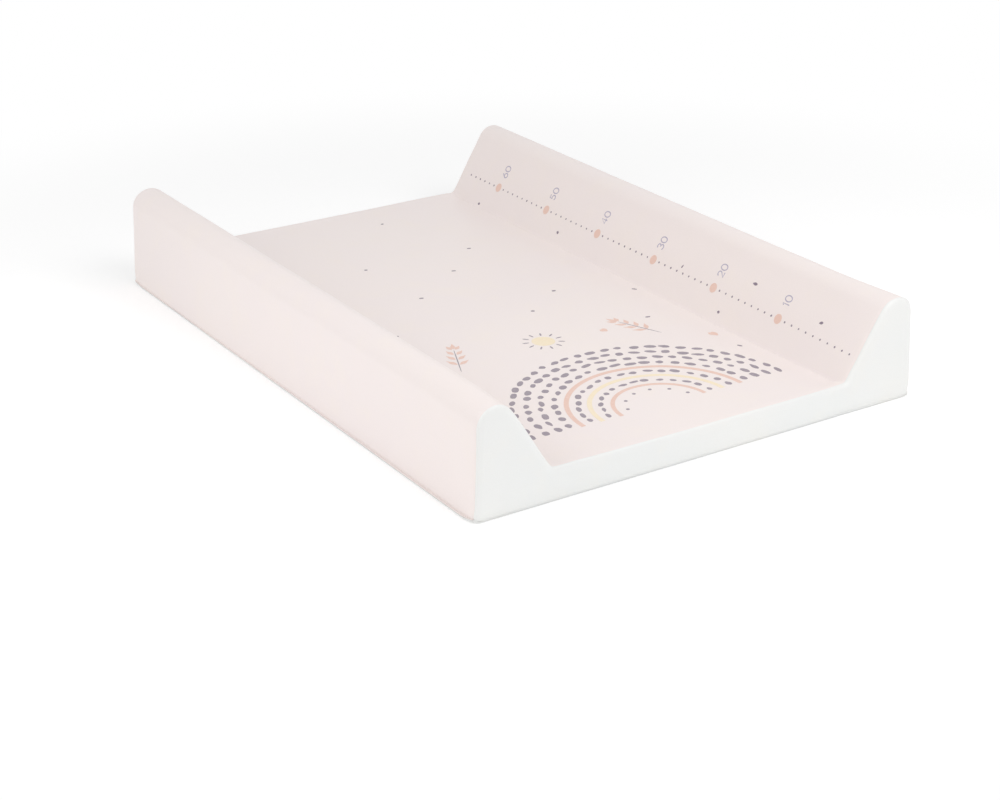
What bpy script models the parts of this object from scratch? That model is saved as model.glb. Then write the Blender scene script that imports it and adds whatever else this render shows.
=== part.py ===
# Wedge changing mat: a foam slab with a foam wedge glued along each long side,
# wrapped in printed film over the top, white film caps at both ends and a white
# film sheet underneath, all joined in a narrow flat hem around the bottom.
# Metres, +Z up, +Y towards the head end, origin at the middle of the underside.

import math

import bmesh
import bpy
from mathutils import Vector

# Overall form, measured on the outside of the end caps
MAT_WIDTH = 0.486
MAT_LENGTH = 0.692
BOLSTER_HEIGHT = 0.1035
LYING_HEIGHT = 0.030

# Section of one bolster
BOLSTER_TOP_RADIUS = 0.0193
BOLSTER_BASE_WIDTH = 0.0786
WALL_LEAN = 0.0053
VALLEY_RADIUS = 0.0089

# Film, hem and seams
FILM = 0.0005
BASE_FILM = 0.0008
HEM_WIDTH = 0.0022
CAP_ROLL_RADIUS = 0.0065
SEAM_LAP = 0.0020
CLEARANCE = 0.0003

# Vent eyelets in the rear cap, one in each ear
VENT_HEIGHT = 0.050
VENT_FROM_SIDE = 0.032
VENT_BORE_RADIUS = 0.0022
VENT_BARREL_RADIUS = 0.0030
VENT_FLANGE_RADIUS = 0.0052
VENT_FLANGE = 0.0009
VENT_CLINCH_RADIUS = 0.0040
VENT_CLINCH = 0.0006
WASHER_RADIUS = 0.0056
WASHER = 0.0006

# How finely the round parts are divided
TOP_SEGMENTS = 18
VALLEY_SEGMENTS = 6
ROLL_SEGMENTS = 5
HEM_CORNER_SEGMENTS = 8
TURNED_STEPS = 24
SHARP_ANGLE = math.radians(35)
OVERRUN = 0.002
MERGE = 0.00001

PRINTED_FILM = ("printed_film", (0.86, 0.79, 0.77, 1.0), 0.34)
WHITE_FILM = ("white_film", (0.90, 0.90, 0.88, 1.0), 0.38)
BACKING_FILM = ("backing_film", (0.82, 0.82, 0.80, 1.0), 0.5)
FOAM = ("foam", (0.90, 0.87, 0.76, 1.0), 0.95)
VENT_PLASTIC = ("vent_plastic", (0.86, 0.86, 0.85, 1.0), 0.3)

# Heights of the layers, from the surface that the mat lies on
hem_bottom = BASE_FILM + CLEARANCE
hem_top = hem_bottom + FILM
cover_inset = FILM + CLEARANCE
foam_inset = cover_inset + FILM + CLEARANCE
slab_top = LYING_HEIGHT - foam_inset
seam_y = MAT_LENGTH / 2 - CAP_ROLL_RADIUS - SEAM_LAP

# Slope of the outer wall, as inward travel for each metre of height
lean = WALL_LEAN / BOLSTER_HEIGHT
wall_angle = math.atan(lean)

# Centre of the round top and of the fillet in the valley, on the right side
top_centre_z = BOLSTER_HEIGHT - BOLSTER_TOP_RADIUS
top_centre_x = MAT_WIDTH / 2 - BOLSTER_TOP_RADIUS / math.cos(wall_angle) - lean * top_centre_z
foot_x = MAT_WIDTH / 2 - BOLSTER_BASE_WIDTH
foot_to_top = Vector((top_centre_x - foot_x, top_centre_z - LYING_HEIGHT))
slope_angle = math.atan2(foot_to_top.y, foot_to_top.x) + math.asin(BOLSTER_TOP_RADIUS / foot_to_top.length)
fillet_centre_x = foot_x - VALLEY_RADIUS * math.tan(slope_angle / 2)
fillet_centre_z = LYING_HEIGHT + VALLEY_RADIUS


def arc(centre_x, centre_z, radius, start, end, segments):
    """Points of an arc, both ends included."""
    angles = [start + (end - start) * step / segments for step in range(segments + 1)]
    return [(centre_x + radius * math.cos(a), centre_z + radius * math.sin(a)) for a in angles]


def wall_x(z, inset):
    """Where the right outer wall stands at height z, moved inwards by inset."""
    return MAT_WIDTH / 2 - lean * z - inset / math.cos(wall_angle)


def slope_x(z, inset):
    """Where the right inner slope stands at height z, moved into the foam by inset."""
    rise = z - LYING_HEIGHT
    return foot_x + rise / math.tan(slope_angle) + inset / math.sin(slope_angle)


def top_arc(inset):
    """Round top of the right bolster, from the slope over to the outer wall."""
    radius = BOLSTER_TOP_RADIUS - inset
    return arc(top_centre_x, top_centre_z, radius, slope_angle + math.pi / 2, wall_angle, TOP_SEGMENTS)


def valley_arc(inset):
    """Fillet between the lying surface and the right slope."""
    radius = VALLEY_RADIUS + inset
    down = -math.pi / 2
    return arc(fillet_centre_x, fillet_centre_z, radius, down, down + slope_angle, VALLEY_SEGMENTS)


def mat_outline(inset, bottom):
    """Open outline over the whole mat, from the left hem to the right hem."""
    right = valley_arc(inset) + top_arc(inset) + [(wall_x(bottom, inset), bottom)]
    left = [(-x, z) for x, z in reversed(right)]
    return left + right


def material(name, colour, roughness):
    made = bpy.data.materials.get(name) or bpy.data.materials.new(name)
    made.use_nodes = True
    made.diffuse_color = colour
    shader = made.node_tree.nodes["Principled BSDF"]
    shader.inputs["Base Color"].default_value = colour
    shader.inputs["Roughness"].default_value = roughness
    shader.inputs["Metallic"].default_value = 0.0
    return made


def add_object(name, mesh, finish, place=(0, 0, 0), turn=(0, 0, 0)):
    mesh.materials.append(material(*finish))
    piece = bpy.data.objects.new(name, mesh)
    piece.location = place
    piece.rotation_euler = turn
    piece.parent = mat_root
    mat_collection.objects.link(piece)
    return piece


def finished_mesh(bm, name):
    mesh = bpy.data.meshes.new(name)
    bm.to_mesh(mesh)
    bm.free()
    mesh.shade_smooth()
    mesh.set_sharp_from_angle(angle=SHARP_ANGLE)
    return mesh


def draw_line(bm, points, y):
    """A chain of edges through points given as (x, z), standing at y."""
    verts = [bm.verts.new((x, y, z)) for x, z in points]
    return [bm.edges.new(pair) for pair in zip(verts, verts[1:])]


def close_line(bm, edges):
    """Joins the two ends of a chain and fills it with one face."""
    ends = [v for edge in edges for v in edge.verts if len(v.link_edges) == 1]
    closing = bm.edges.new(ends)
    return bmesh.ops.contextual_create(bm, geom=edges + [closing])["faces"]


def rolled_block(outline, inset):
    """The outline as a block along Y, whose end edges are rolled over except at the bottom."""
    bm = bmesh.new()
    half = MAT_LENGTH / 2 - inset
    faces = close_line(bm, draw_line(bm, outline, -half))
    moved = bmesh.ops.extrude_face_region(bm, geom=faces)["geom"]
    verts = [item for item in moved if isinstance(item, bmesh.types.BMVert)]
    bmesh.ops.translate(bm, verts=verts, vec=(0, 2 * half, 0))
    bmesh.ops.recalc_face_normals(bm, faces=bm.faces)
    bottom = min(z for _, z in outline)
    rolled = [e for e in bm.edges if is_end_edge(e) and not is_level(e, bottom)]
    bmesh.ops.bevel(bm, geom=rolled, offset=CAP_ROLL_RADIUS - inset, offset_type="OFFSET",
                    segments=ROLL_SEGMENTS, profile=0.5, affect="EDGES", loop_slide=True)
    return bm


def is_end_edge(edge):
    """True for an edge that lies in one of the two end planes, not along the block."""
    return abs(edge.verts[0].co.y - edge.verts[1].co.y) < MERGE


def is_level(edge, z):
    return all(abs(v.co.z - z) < MERGE for v in edge.verts)


def keep_one_side(bm, point, direction):
    """Cuts an open surface with a plane and drops what lies ahead of it."""
    everything = bm.verts[:] + bm.edges[:] + bm.faces[:]
    bmesh.ops.bisect_plane(bm, geom=everything, dist=MERGE, plane_co=point,
                           plane_no=direction, clear_outer=True)


def drop_level_faces(bm, z):
    flat = [f for f in bm.faces if all(abs(v.co.z - z) < MERGE for v in f.verts)]
    bmesh.ops.delete(bm, geom=flat, context="FACES")


def bottom_edges(bm, reach):
    """The sheet's open edges at the hem that lie within reach of the mat's middle along Y."""
    low = [e for e in bm.edges if e.is_boundary and is_level(e, hem_top)]
    return [e for e in low if all(abs(v.co.y) < reach + MERGE for v in e.verts)]


def add_hem(bm, edges, width):
    """Turns bottom edges outwards into a flat hem of even width."""
    outward = {}
    for edge in edges:
        normal = edge.link_faces[0].normal.copy()
        normal.z = 0
        for vert in edge.verts:
            outward.setdefault(vert, []).append(normal.normalized())
    grown = bmesh.ops.extrude_edge_only(bm, edges=edges)["geom"]
    outer = [item for item in grown if isinstance(item, bmesh.types.BMVert)]
    for vert in outer:
        neighbours = [edge.other_vert(vert) for edge in vert.link_edges]
        normals = next(outward[other] for other in neighbours if other in outward)
        direction = sum(normals, Vector()).normalized()
        vert.co += direction * (width / direction.dot(normals[0]))


def thicken(piece):
    """Gives an open sheet the thickness of the film, on its inner side."""
    wall = piece.modifiers.new("film", "SOLIDIFY")
    wall.thickness = FILM
    wall.offset = -1
    wall.use_even_offset = True
    return piece


def cap_sheet(name, end):
    """One end cap: the end wall, its rolled edge, the lap over the cover and the hem."""
    bm = rolled_block(mat_outline(0, hem_top), 0)
    drop_level_faces(bm, hem_top)
    keep_one_side(bm, (0, end * seam_y, 0), (0, -end, 0))
    bm.normal_update()
    add_hem(bm, bottom_edges(bm, MAT_LENGTH), HEM_WIDTH)
    return finished_mesh(bm, name)


def cover_sheet(name):
    """The printed film: over both bolsters and the lying surface, down to the side hems."""
    bm = bmesh.new()
    cover_end = MAT_LENGTH / 2 - CAP_ROLL_RADIUS
    hem_end = seam_y - CLEARANCE
    edges = draw_line(bm, mat_outline(cover_inset, hem_top), -cover_end)
    for stretch in (cover_end - hem_end, 2 * hem_end, cover_end - hem_end):
        grown = bmesh.ops.extrude_edge_only(bm, edges=edges)["geom"]
        verts = [item for item in grown if isinstance(item, bmesh.types.BMVert)]
        edges = [e for e in bm.edges if e.verts[0] in verts and e.verts[1] in verts]
        bmesh.ops.translate(bm, verts=verts, vec=(0, stretch, 0))
    bm.normal_update()
    if max(bm.faces, key=lambda face: face.calc_center_median().z).normal.z < 0:
        bmesh.ops.reverse_faces(bm, faces=bm.faces)
    add_hem(bm, bottom_edges(bm, hem_end), HEM_WIDTH + cover_inset)
    return finished_mesh(bm, name)


def base_outline():
    """Plan of the base film: the hem's outer edge with its round corners."""
    half_width = wall_x(hem_top, 0) + HEM_WIDTH
    half_length = MAT_LENGTH / 2 + HEM_WIDTH
    radius = CAP_ROLL_RADIUS + HEM_WIDTH
    quarter = math.pi / 2
    points = []
    for turn, (side, end) in enumerate(((1, 1), (-1, 1), (-1, -1), (1, -1))):
        centre_x = side * (half_width - radius)
        centre_y = end * (half_length - radius)
        points += arc(centre_x, centre_y, radius, turn * quarter, (turn + 1) * quarter, HEM_CORNER_SEGMENTS)
    return points


def base_film(name):
    """A flat 2D curve, filled and extruded by half its thickness each way."""
    curve = bpy.data.curves.new(name, "CURVE")
    curve.dimensions = "2D"
    curve.fill_mode = "BOTH"
    curve.extrude = BASE_FILM / 2
    points = base_outline()
    spline = curve.splines.new("POLY")
    spline.points.add(len(points) - 1)
    for target, (x, y) in zip(spline.points, points):
        target.co = (x, y, 0, 1)
    spline.use_cyclic_u = True
    drawn = bpy.data.objects.new(name + "_curve", curve)
    mat_collection.objects.link(drawn)
    mesh = bpy.data.meshes.new_from_object(drawn.evaluated_get(bpy.context.evaluated_depsgraph_get()))
    bpy.data.objects.remove(drawn)
    bm = bmesh.new()
    bm.from_mesh(mesh)
    bmesh.ops.remove_doubles(bm, verts=bm.verts, dist=MERGE)
    return add_object(name, finished_mesh(bm, name), BACKING_FILM, place=(0, 0, BASE_FILM / 2))


def foam_slab():
    slab = [(wall_x(hem_bottom, foam_inset), hem_bottom), (wall_x(slab_top, foam_inset), slab_top)]
    outline = [(-x, z) for x, z in slab] + list(reversed(slab))
    block = rolled_block(outline, foam_inset)
    return add_object("foam_base_slab", finished_mesh(block, "foam_base_slab"), FOAM)


def foam_wedge(name, side):
    glue_line = slab_top + CLEARANCE
    outline = [(slope_x(glue_line, foam_inset), glue_line)] + top_arc(foam_inset)
    outline += [(wall_x(glue_line, foam_inset), glue_line)]
    outline = [(side * x, z) for x, z in outline]
    return add_object(name, finished_mesh(rolled_block(outline, foam_inset), name), FOAM)


def turned(name, profile, finish, place, turn):
    """A closed profile of (radius, height) points turned about its own Z axis."""
    bm = bmesh.new()
    verts = [bm.verts.new((radius, 0, z)) for radius, z in profile]
    for pair in zip(verts, verts[1:] + verts[:1]):
        bm.edges.new(pair)
    mesh = bpy.data.meshes.new(name)
    bm.to_mesh(mesh)
    bm.free()
    piece = add_object(name, mesh, finish, place, turn)
    screw = piece.modifiers.new("turned", "SCREW")
    screw.axis = "Z"
    screw.steps = TURNED_STEPS
    screw.render_steps = TURNED_STEPS
    screw.use_merge_vertices = True
    screw.merge_threshold = MERGE
    screw.use_smooth_shade = False
    return piece


def cutter(name, radius, near, far, place, turn):
    """A cylinder about the vent's axis, from near to far along it."""
    bpy.ops.mesh.primitive_cylinder_add(vertices=TURNED_STEPS, radius=radius, depth=far - near)
    tool = bpy.context.object
    tool.name = name
    tool.data.transform(turn.to_matrix().to_4x4())
    axis = turn.to_matrix() @ Vector((0, 0, 1))
    tool.location = Vector(place) + axis * (near + far) / 2
    for collection in list(tool.users_collection):
        collection.objects.unlink(tool)
    cutter_collection.objects.link(tool)
    tool.hide_render = True
    tool.display_type = "WIRE"
    tool.parent = mat_root
    return tool


def cut(piece, tool):
    boolean = piece.modifiers.new("cut", "BOOLEAN")
    boolean.operation = "DIFFERENCE"
    boolean.solver = "EXACT"
    boolean.object = tool


def vent(side_name, side, cap, wedge):
    """An eyelet clinched through the rear cap over a washer, with its pocket in the foam."""
    place = (side * (MAT_WIDTH / 2 - VENT_FROM_SIDE), MAT_LENGTH / 2, VENT_HEIGHT)
    turn = Vector((0, 0, 1)).rotation_difference(Vector((0, 1, 0))).to_euler()
    washer_top = -FILM - CLEARANCE
    washer_bottom = washer_top - WASHER
    clinch_top = washer_bottom - CLEARANCE
    clinch_bottom = clinch_top - VENT_CLINCH
    flange_top = CLEARANCE + VENT_FLANGE
    flange_edge = CLEARANCE + VENT_FLANGE / 2
    flange_round = (VENT_BORE_RADIUS + VENT_BARREL_RADIUS) / 2
    eyelet = [
        (VENT_BORE_RADIUS, flange_edge),
        (flange_round, flange_top),
        (VENT_FLANGE_RADIUS - VENT_FLANGE / 2, flange_top),
        (VENT_FLANGE_RADIUS, flange_edge),
        (VENT_FLANGE_RADIUS, CLEARANCE),
        (VENT_BARREL_RADIUS, CLEARANCE),
        (VENT_BARREL_RADIUS, clinch_top),
        (VENT_CLINCH_RADIUS, clinch_top),
        (VENT_CLINCH_RADIUS, clinch_bottom),
        (VENT_BORE_RADIUS, clinch_bottom),
    ]
    washer_bore = VENT_BARREL_RADIUS + CLEARANCE
    washer = [
        (washer_bore, washer_top),
        (WASHER_RADIUS, washer_top),
        (WASHER_RADIUS, washer_bottom),
        (washer_bore, washer_bottom),
    ]
    turned(side_name + "_vent_eyelet", eyelet, VENT_PLASTIC, place, turn)
    turned(side_name + "_vent_washer", washer, VENT_PLASTIC, place, turn)
    hole = cutter(side_name + "_vent_hole", washer_bore, washer_bottom, flange_edge, place, turn)
    cut(cap, hole)
    pocket_radius = WASHER_RADIUS + CLEARANCE
    pocket = cutter(side_name + "_vent_pocket", pocket_radius, clinch_bottom - CLEARANCE, OVERRUN, place, turn)
    cut(wedge, pocket)


for old in list(bpy.data.objects):
    bpy.data.objects.remove(old)

mat_collection = bpy.data.collections.new("changing_mat")
cutter_collection = bpy.data.collections.new("cutters")
for made_collection in (mat_collection, cutter_collection):
    bpy.context.scene.collection.children.link(made_collection)

mat_root = bpy.data.objects.new("changing_mat_root", None)
mat_collection.objects.link(mat_root)

base_film("base_sheet")
foam_slab()
left_wedge = foam_wedge("left_foam_wedge", -1)
right_wedge = foam_wedge("right_foam_wedge", 1)
thicken(add_object("printed_top_cover", cover_sheet("printed_top_cover"), PRINTED_FILM))
thicken(add_object("front_end_panel", cap_sheet("front_end_panel", -1), WHITE_FILM))
rear_panel = thicken(add_object("rear_end_panel", cap_sheet("rear_end_panel", 1), WHITE_FILM))
vent("left", -1, rear_panel, left_wedge)
vent("right", 1, rear_panel, right_wedge)
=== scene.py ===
import math
import random

import bmesh
import bpy
from mathutils import Matrix, Vector, noise
from mathutils.bvhtree import BVHTree


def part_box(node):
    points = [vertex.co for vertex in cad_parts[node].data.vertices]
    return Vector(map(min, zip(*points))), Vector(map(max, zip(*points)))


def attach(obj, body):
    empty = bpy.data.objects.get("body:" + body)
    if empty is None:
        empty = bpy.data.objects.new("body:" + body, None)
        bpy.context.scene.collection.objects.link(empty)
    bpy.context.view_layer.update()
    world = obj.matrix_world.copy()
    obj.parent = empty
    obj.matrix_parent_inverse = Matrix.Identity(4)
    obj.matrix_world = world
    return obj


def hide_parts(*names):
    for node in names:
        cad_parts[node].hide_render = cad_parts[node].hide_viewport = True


# Looks of the wedge changing mat: film skins over foam, the print on them, and the studio.
# Metres, +Z up, +Y towards the head end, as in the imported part.
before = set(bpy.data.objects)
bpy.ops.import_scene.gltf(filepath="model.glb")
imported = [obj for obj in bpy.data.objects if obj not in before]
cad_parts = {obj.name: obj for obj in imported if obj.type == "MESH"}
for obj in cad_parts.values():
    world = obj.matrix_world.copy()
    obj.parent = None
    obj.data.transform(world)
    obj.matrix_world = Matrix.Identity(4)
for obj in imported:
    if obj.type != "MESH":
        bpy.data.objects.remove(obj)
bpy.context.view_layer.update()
print("frame loaded:", ", ".join(sorted(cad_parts)))

camera = {
    "lens": 72.96,                          # mm, on a sensor 36 mm wide
    "place": (-1.0335, -1.6190, 0.7687),
    "heading": -32.706,                     # degrees about Z
    "tilt": 66.337,
    "roll": -0.3765,
}
section = {                                 # one bolster, seen from the foot end
    "topRadius": 0.0193,
    "valleyRadius": 0.0089,
    "baseWidth": 0.0786,
    "lean": 0.0053,                         # how far the outer wall leans in over its height
    "lyingHeight": 0.030,
}
skin = {                                    # the film and how it is joined
    "film": 0.0005,
    "baseFilm": 0.0008,
    "gap": 0.0003,
    "sunk": 0.00015,                        # the pink film lies this far under the drawn outline
    "lap": 0.0010,                          # how far it reaches under the white film
    "dip": 0.0035,                          # how far before the seam it starts to go down
    "hemWidth": 0.0022,
    "meshStep": 0.005,
    "arcStep": 0.0022,
    "faceStep": 0.006,
}
footRoll = {                                # the white film, turned over the foot end's edge
    "seam": 0.0002,                         # its rim lies this far back from the foam's end
    "high": 0.0070,                         # how far the roll reaches across the section
    "deep": 0.0028,                         # and along the mat
    "deepAtHem": 0.0018,
    "easeHeight": 0.013,
    "steps": 8,
}
headRoll = {                                # the pink film, turned over the head end's edge
    "radius": 0.0025,
    "coverTurn": 70,                        # degrees; the white film's rim lies over its end
    "panelTurn": 60,
    "steps": 9,
}
foamRound = 0.0049
cornerRound = 0.0058
tiny = 0.00002                              # closer than this counts as the same place

panelLow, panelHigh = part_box("front_end_panel")
bolsterHeight = panelHigh.z
lying = section["lyingHeight"]
hemTop = skin["baseFilm"] + skin["gap"] + skin["film"]
coverInset = skin["sunk"]
lapInset = skin["film"] + skin["gap"]
foamInset = lapInset + skin["film"] + skin["gap"]
lean = section["lean"] / bolsterHeight
wallAngle = math.atan(lean)
halfLength = -panelLow.y - skin["hemWidth"]
halfWidth = panelHigh.x - skin["hemWidth"] + lean * hemTop
seamY = halfLength - footRoll["seam"]
curlY = halfLength - headRoll["radius"]
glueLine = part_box("right_foam_wedge")[0].z

topX = halfWidth - section["topRadius"] / math.cos(wallAngle) - lean * (bolsterHeight - section["topRadius"])
topZ = bolsterHeight - section["topRadius"]
footX = halfWidth - section["baseWidth"]
footToTop = Vector((topX - footX, topZ - lying))
slope = math.atan2(footToTop.y, footToTop.x) + math.asin(section["topRadius"] / footToTop.length)
valleyX = footX - section["valleyRadius"] * math.tan(slope / 2)
valleyZ = lying + section["valleyRadius"]


def wallX(z, inset):
    return halfWidth - lean * z - inset / math.cos(wallAngle)


def slopeX(z, inset):
    return footX + (z - lying) / math.tan(slope) + inset / math.sin(slope)


def rise(value, low, high):
    # 0 below low, 1 above high, smooth between
    share = min(1, max(0, (value - low) / (high - low)))
    return share * share * (3 - 2 * share)


# Camera, from the photograph
def addCamera():
    turn = Matrix.Rotation(math.radians(camera["heading"]), 3, "Z")
    turn = turn @ Matrix.Rotation(math.radians(camera["tilt"]), 3, "X")
    turn = turn @ Matrix.Rotation(math.radians(camera["roll"]), 3, "Z")
    bpy.ops.object.camera_add(location=camera["place"], rotation=turn.to_euler())
    made = bpy.context.object
    made.data.lens = camera["lens"]
    made.data.sensor_width = 36
    made.data.dof.use_dof = False
    bpy.context.scene.camera = made


addCamera()
print("camera set")


# Modelling helpers
def nothingSelected():
    if bpy.context.mode != "OBJECT":
        bpy.ops.object.mode_set(mode="OBJECT")
    bpy.ops.object.select_all(action="DESELECT")


def makeActive(*objects):
    nothingSelected()
    for one in objects:
        one.select_set(True)
    bpy.context.view_layer.objects.active = objects[0]


def editMesh(obj, mode="VERT"):
    makeActive(obj)
    bpy.ops.object.mode_set(mode="EDIT")
    bpy.ops.mesh.select_mode(type=mode)


def selectAll():
    bpy.ops.mesh.select_all(action="SELECT")


def faceOutwards():
    selectAll()
    bpy.ops.mesh.normals_make_consistent(inside=False)


def pull(move):
    bpy.ops.mesh.extrude_region_move(TRANSFORM_OT_translate={"value": move})


def fillAndPull(length):
    # closes the edited outline with a face and pulls it along Y into a block
    selectAll()
    bpy.ops.mesh.edge_face_add()
    pull((0, length, 0))
    faceOutwards()


def pick(mode, test):
    # selects the vertices, edges or faces of the edited mesh that pass the test
    mesh = bpy.context.edit_object.data
    bpy.ops.mesh.select_mode(type=mode)
    bpy.ops.mesh.select_all(action="DESELECT")
    shape = bmesh.from_edit_mesh(mesh)
    items = {"VERT": shape.verts, "EDGE": shape.edges, "FACE": shape.faces}[mode]
    chosen = [item for item in items if test(item)]
    for item in chosen:
        item.select_set(True)
    shape.select_flush_mode()
    bmesh.update_edit_mesh(mesh)


def same(first, second):
    return abs(first - second) < tiny


def allAt(item, axis, value):
    return all(same(v.co[axis], value) for v in item.verts)


def addModifier(obj, kind, **settings):
    made = obj.modifiers.new(kind.lower(), kind)
    for key, value in settings.items():
        setattr(made, key, value)
    return made


def applyModifiers(obj):
    makeActive(obj)
    for modifier in list(obj.modifiers):
        bpy.ops.object.modifier_apply(modifier=modifier.name)


def smoothShade(obj, angle=35):
    makeActive(obj)
    bpy.ops.object.shade_smooth_by_angle(angle=math.radians(angle))


def dress(obj, material):
    obj.data.materials.clear()
    obj.data.materials.append(material)


class Pen:
    # draws an outline in the XZ plane, on from the vertex drawn last
    def __init__(self, name, x, y, z):
        nothingSelected()
        bpy.ops.mesh.primitive_plane_add(size=0.01)
        self.obj = bpy.context.object
        self.obj.name = name
        self.obj.data.name = name
        editMesh(self.obj)
        selectAll()
        bpy.ops.mesh.merge(type="CENTER")
        bpy.ops.transform.translate(value=(x, y, z))
        self.x, self.y, self.z = x, y, z

    def line(self, x, z, step=skin["meshStep"]):
        count = max(1, round(math.hypot(x - self.x, z - self.z) / step))
        move = ((x - self.x) / count, 0, (z - self.z) / count)
        for _ in range(count):
            pull(move)
        self.x, self.z = x, z

    def arc(self, x, z, angle, step=skin["arcStep"]):
        # a positive angle turns anticlockwise, seen from the foot end
        out = Vector((self.x - x, self.z - z))
        count = max(4, round(out.length * abs(angle) / step))
        bpy.ops.mesh.spin(steps=count, angle=angle, center=(x, self.y, z), axis=(0, 1, 0))
        end = Matrix.Rotation(angle, 2) @ out
        self.x, self.z = x + end.x, z + end.y

    def bolster(self, inset):
        # from the lying surface, over the right bolster, to the foot of its outer wall
        self.line(valleyX, lying - inset)
        self.arc(valleyX, valleyZ, slope)
        radius = section["topRadius"] - inset
        lineAngle = slope + math.pi / 2
        self.line(topX + radius * math.cos(lineAngle), topZ + radius * math.sin(lineAngle))
        self.arc(topX, topZ, wallAngle - lineAngle)
        # the foot of the wall is divided finely, because the corners are drawn in there
        self.line(wallX(footRoll["easeHeight"], inset), footRoll["easeHeight"])
        self.line(wallX(hemTop, inset), hemTop, skin["arcStep"])

    def finish(self, mirrored=True):
        bpy.ops.object.mode_set(mode="OBJECT")
        if mirrored:
            addModifier(self.obj, "MIRROR", use_clip=True, merge_threshold=tiny)
            applyModifiers(self.obj)
        return self.obj


def sweepAlongY(obj, lengths, step):
    # pulls the whole outline along Y in stretches, then divides the long ones
    editMesh(obj)
    selectAll()
    for length in lengths:
        pull((0, length, 0))
    longEdge = step * 1.5
    pick("EDGE", lambda e: abs(e.verts[0].co.y - e.verts[1].co.y) > longEdge)
    longest = max(abs(length) for length in lengths)
    bpy.ops.mesh.subdivide(number_cuts=round(longest / step) - 1)
    faceOutwards()


def rollEnds(ends, radius, steps, bottom):
    # rounds the end edges of the edited block, except along its bottom
    def isRolled(edge):
        return any(allAt(edge, 1, end) for end in ends) and not allAt(edge, 2, bottom)
    pick("EDGE", isRolled)
    bpy.ops.mesh.bevel(offset=radius, segments=steps, profile=0.5, affect="EDGES",
                       clamp_overlap=False, loop_slide=True)


def gridFace(end, step):
    # cuts the flat end face into squares, so that it can bend
    def onFace(face):
        return allAt(face, 1, end)
    columns = math.floor(halfWidth / step)
    heights = [(row + 0.5) * step for row in range(2, math.floor(bolsterHeight / step) + 1)]
    heights += [hemTop + footRoll["easeHeight"] * share / 6 for share in range(1, 6)]
    cuts = [((column * step, end, 0), (1, 0, 0)) for column in range(-columns, columns + 1)]
    cuts += [((0, end, height), (0, 0, 1)) for height in heights]
    for place, direction in cuts:
        pick("FACE", onFace)
        bpy.ops.mesh.bisect(plane_co=place, plane_no=direction)
    selectAll()
    bpy.ops.mesh.remove_doubles(threshold=tiny)


def turnHem(obj, width, first, last):
    # turns the open bottom edges from first to last outwards into a flat hem
    nothingSelected()
    shape = bmesh.new()
    shape.from_mesh(obj.data)
    low = [e for e in shape.edges if e.is_boundary and allAt(e, 2, hemTop)
           and all(first - tiny < v.co.y < last + tiny for v in e.verts)]
    outward = {}
    for edge in low:
        normal = edge.link_faces[0].normal.copy()
        normal.z = 0
        for vert in edge.verts:
            outward.setdefault(vert, []).append(normal.normalized())
    grown = bmesh.ops.extrude_edge_only(shape, edges=low)["geom"]
    for vert in [item for item in grown if isinstance(item, bmesh.types.BMVert)]:
        normals = next(outward[e.other_vert(vert)] for e in vert.link_edges if e.other_vert(vert) in outward)
        direction = sum(normals, Vector()).normalized()
        vert.co += direction * (width / direction.dot(normals[0]))
    shape.to_mesh(obj.data)
    shape.free()


# Skins and foam, still flat and straight
def drawCover():
    hemStart = -seamY + skin["gap"]
    curl = headRoll["radius"] * math.radians(headRoll["coverTurn"])
    hemCurl = headRoll["radius"] * math.radians(headRoll["panelTurn"]) - skin["gap"]
    lengths = [skin["lap"] + skin["gap"]] + [skin["dip"] / 4] * 4
    lengths += [curlY - hemStart - skin["dip"]]
    lengths += [hemCurl / 6] * 6 + [(curl - hemCurl) / 2] * 2
    pen = Pen("printedCover", 0, -seamY - skin["lap"], lying - coverInset)
    pen.bolster(coverInset)
    cover = pen.finish()
    sweepAlongY(cover, lengths, skin["meshStep"])
    nothingSelected()
    turnHem(cover, skin["hemWidth"] + coverInset, hemStart, curlY + hemCurl)
    curlCover(cover)
    return cover


def curlCover(cover):
    # goes down before the foot seam, and turns over the edge at the head end
    down = lapInset - coverInset
    radius = headRoll["radius"]
    lapTurn = math.radians(headRoll["panelTurn"])
    normals = [v.normal.copy() for v in cover.data.vertices]
    for vert, normal in zip(cover.data.vertices, normals):
        p = vert.co.copy()
        hem = 0
        if same(p.z, hemTop):
            hem = abs(p.x) - wallX(hemTop, coverInset)
            normal = Vector((math.copysign(1, p.x), 0, 0))
        if p.y < 0:
            vert.co = p - normal * down * rise(-p.y, seamY - skin["dip"], seamY - skin["gap"])
        if p.y > curlY:
            turn = (p.y - curlY) / radius
            axis = Vector((p.x, curlY, p.z)) - normal * (radius - coverInset + hem)
            reach = radius - coverInset + hem - down * rise(turn, lapTurn * 0.6, lapTurn * 0.92)
            vert.co = axis + reach * (normal * math.cos(turn) + Vector((0, math.sin(turn), 0)))


def drawPanel(name, end, start, depth, radius, steps):
    # a block with the mat's outline, rounded at its end, then opened at its start and underneath
    pen = Pen(name, 0, end * start, lying)
    pen.bolster(0)
    pen.line(0, hemTop)
    panel = pen.finish()
    editMesh(panel)
    fillAndPull(end * depth)
    rollEnds([end * (start + depth)], radius, steps, hemTop)
    pick("FACE", lambda f: allAt(f, 1, end * start) or allAt(f, 2, hemTop))
    bpy.ops.mesh.delete(type="FACE")
    return panel


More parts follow.
